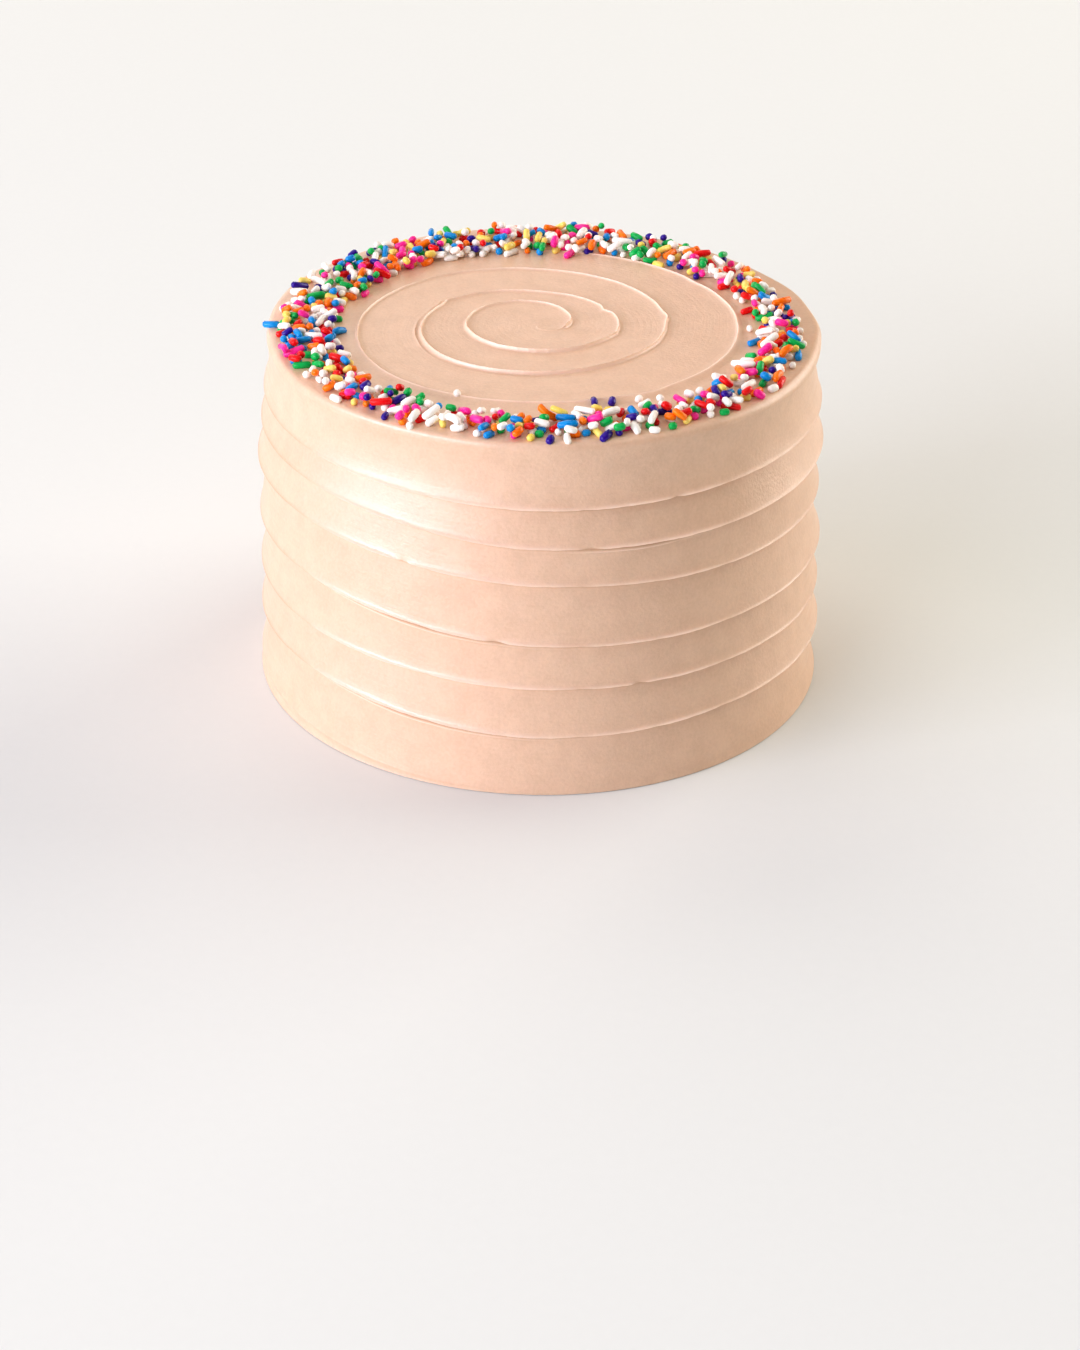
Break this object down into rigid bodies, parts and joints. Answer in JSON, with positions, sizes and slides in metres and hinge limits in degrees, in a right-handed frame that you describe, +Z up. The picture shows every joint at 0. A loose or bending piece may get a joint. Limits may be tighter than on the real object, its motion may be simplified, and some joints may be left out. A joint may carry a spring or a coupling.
{
  "type": "layer cake",
  "caption": "Small tall round layer cake in smooth buttercream, with a ridge spiralling down its side, a swirled top and a ring of coloured rod sprinkles round the top edge.",
  "frame": {"origin": "middle of the cake's flat base, on the surface it stands on", "axes": "+Z up along the cake's axis; +Y to the back and +X to the right of the side that faces the viewer"},
  "size_m": [0.1602, 0.1602, 0.1053],
  "materials": {
    "icing": "satin",
    "sprinkle_white": "satin",
    "sprinkle_red": "satin",
    "sprinkle_pink": "satin",
    "sprinkle_orange": "satin",
    "sprinkle_yellow": "satin",
    "sprinkle_green": "satin",
    "sprinkle_blue": "satin",
    "sprinkle_violet": "satin"
  },
  "bodies": {
    "root": {"iced_cake": "icing"}
  },
  "joints": []
}
